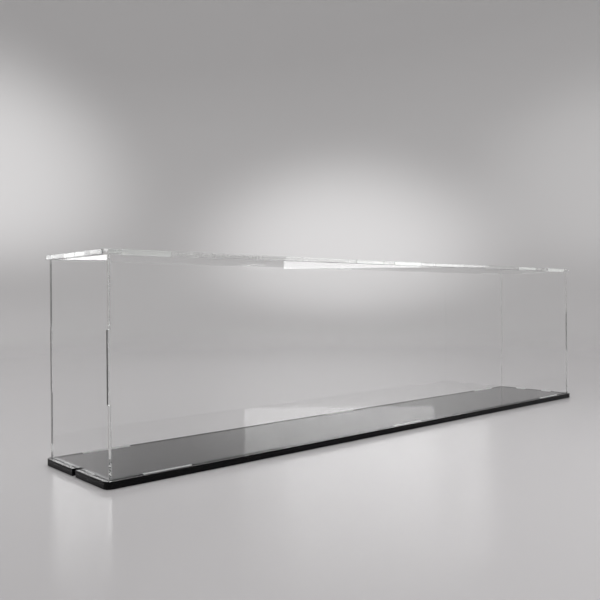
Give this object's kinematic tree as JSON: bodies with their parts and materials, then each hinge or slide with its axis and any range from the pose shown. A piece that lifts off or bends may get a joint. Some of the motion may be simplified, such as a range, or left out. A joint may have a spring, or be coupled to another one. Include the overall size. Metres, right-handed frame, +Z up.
{
  "type": "display case",
  "caption": "Long clear slot-together cover on a gloss black base: keeps dust off a narrow scale model; the lid and the whole cover lift off for access.",
  "frame": {"origin": "middle of the base's underside, on the surface it stands on", "axes": "+X along the case's length, from the end with the cable notch to the other end; +Y from the front wall to the back wall; +Z up"},
  "size_m": [0.96, 0.155, 0.245],
  "materials": {
    "clear_acrylic": "polished",
    "black_acrylic": "polished"
  },
  "bodies": {
    "base": {"base_lower_sheet": "black_acrylic", "base_upper_sheet": "black_acrylic"},
    "cover": {"front_wall": "clear_acrylic", "back_wall": "clear_acrylic", "left_wall": "clear_acrylic", "right_wall": "clear_acrylic"},
    "lid": {"lid": "clear_acrylic"}
  },
  "joints": [
    {"name": "cover_lift", "type": "slide", "parent": "base", "child": "cover", "axis": [0, 0, 1], "range_m": [0, 0.25]},
    {"name": "lid_lift", "type": "slide", "parent": "cover", "child": "lid", "axis": [0, 0, 1], "range_m": [0, 0.06]}
  ]
}
